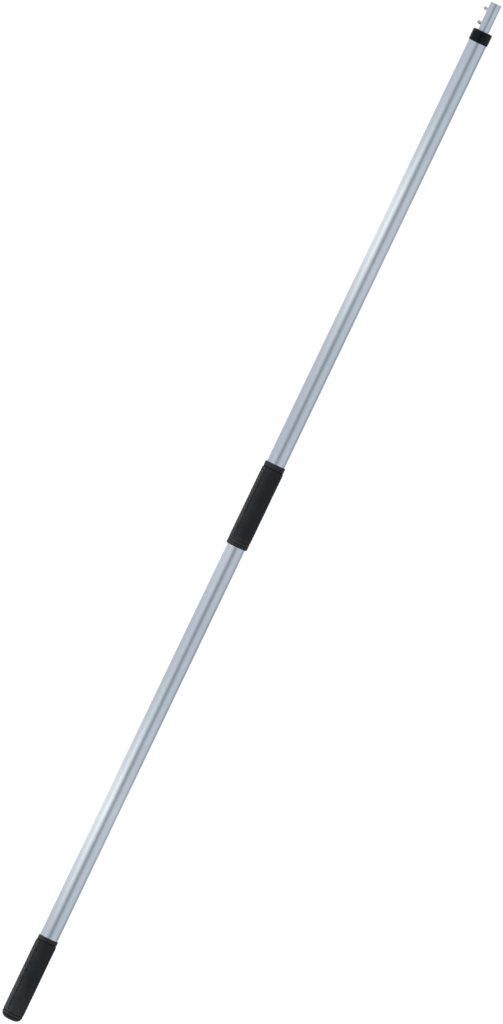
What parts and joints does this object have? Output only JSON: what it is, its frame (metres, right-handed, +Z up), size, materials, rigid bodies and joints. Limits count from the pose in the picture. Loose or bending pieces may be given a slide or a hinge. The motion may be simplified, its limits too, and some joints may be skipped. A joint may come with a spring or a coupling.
{
  "type": "roller extension pole",
  "caption": "Telescoping aluminium pole with twist lock, moulded middle and butt grips, and a narrow tool stub with snap buttons.",
  "frame": {"origin": "centre of the flat butt face, on the pole's axis", "axes": "+Z up the pole towards the tool stub, the snap buttons face -X, and the grips' smooth panels face -Y and +Y, turned 6 degrees towards +X and -X"},
  "size_m": [0.0376, 0.0376, 1.8796],
  "materials": {
    "satin_aluminium": "satin anodised, drawn lengthwise",
    "black_plastic": "moulded, fine grain",
    "black_rubber": "moulded, smooth panels and ribbed bands",
    "natural_acetal": "moulded, smooth",
    "steel": "zinc plated",
    "button_steel": "turned, rounded end"
  },
  "bodies": {
    "outer": {"outer_tube": "satin_aluminium", "mouth_collar": "black_plastic", "middle_grip": "black_rubber", "butt_grip": "black_rubber", "butt_plug": "black_plastic", "bumper": "black_rubber"},
    "lock_sleeve": {"expander_sleeve": "natural_acetal"},
    "cone_nut": {"cone_nut": "natural_acetal"},
    "inner": {"inner_tube": "satin_aluminium", "lower_plug": "black_plastic", "plug_cross_pin": "steel", "lock_stud": "natural_acetal", "stud_washer": "steel", "stud_screw": "steel", "stub_bush": "black_plastic", "tool_stub": "satin_aluminium", "stub_cross_pin": "steel", "button_housing": "black_plastic", "upper_button_spring": "steel", "lower_button_spring": "steel"},
    "upper_button": {"upper_button": "button_steel"},
    "lower_button": {"lower_button": "button_steel"}
  },
  "joints": [
    {"name": "pole_extend", "type": "slide", "parent": "outer", "child": "lock_sleeve", "axis": [0, 0, 1], "range_m": [0, 1.6499]},
    {"name": "twist_lock", "type": "hinge", "parent": "lock_sleeve", "child": "inner", "pos_m": [0, 0, 0], "axis": [0, 0, -1], "range_deg": [0, 180]},
    {"name": "cone_nut_travel", "type": "slide", "parent": "lock_sleeve", "child": "cone_nut", "axis": [0, 0, 1], "range_m": [0, 0.00126]},
    {"name": "upper_button_press", "type": "slide", "parent": "inner", "child": "upper_button", "axis": [1, 0, 0], "range_m": [0, 0.0062], "stiffness_N_per_m": 1200, "springref_m": -0.004, "deforming": ["upper_button_spring"]},
    {"name": "lower_button_press", "type": "slide", "parent": "inner", "child": "lower_button", "axis": [1, 0, 0], "range_m": [0, 0.0062], "stiffness_N_per_m": 1200, "springref_m": -0.004, "deforming": ["lower_button_spring"]}
  ],
  "couplings": [
    {"joint": "cone_nut_travel", "follows": "twist_lock", "m_per_rad": 0.00039789}
  ]
}
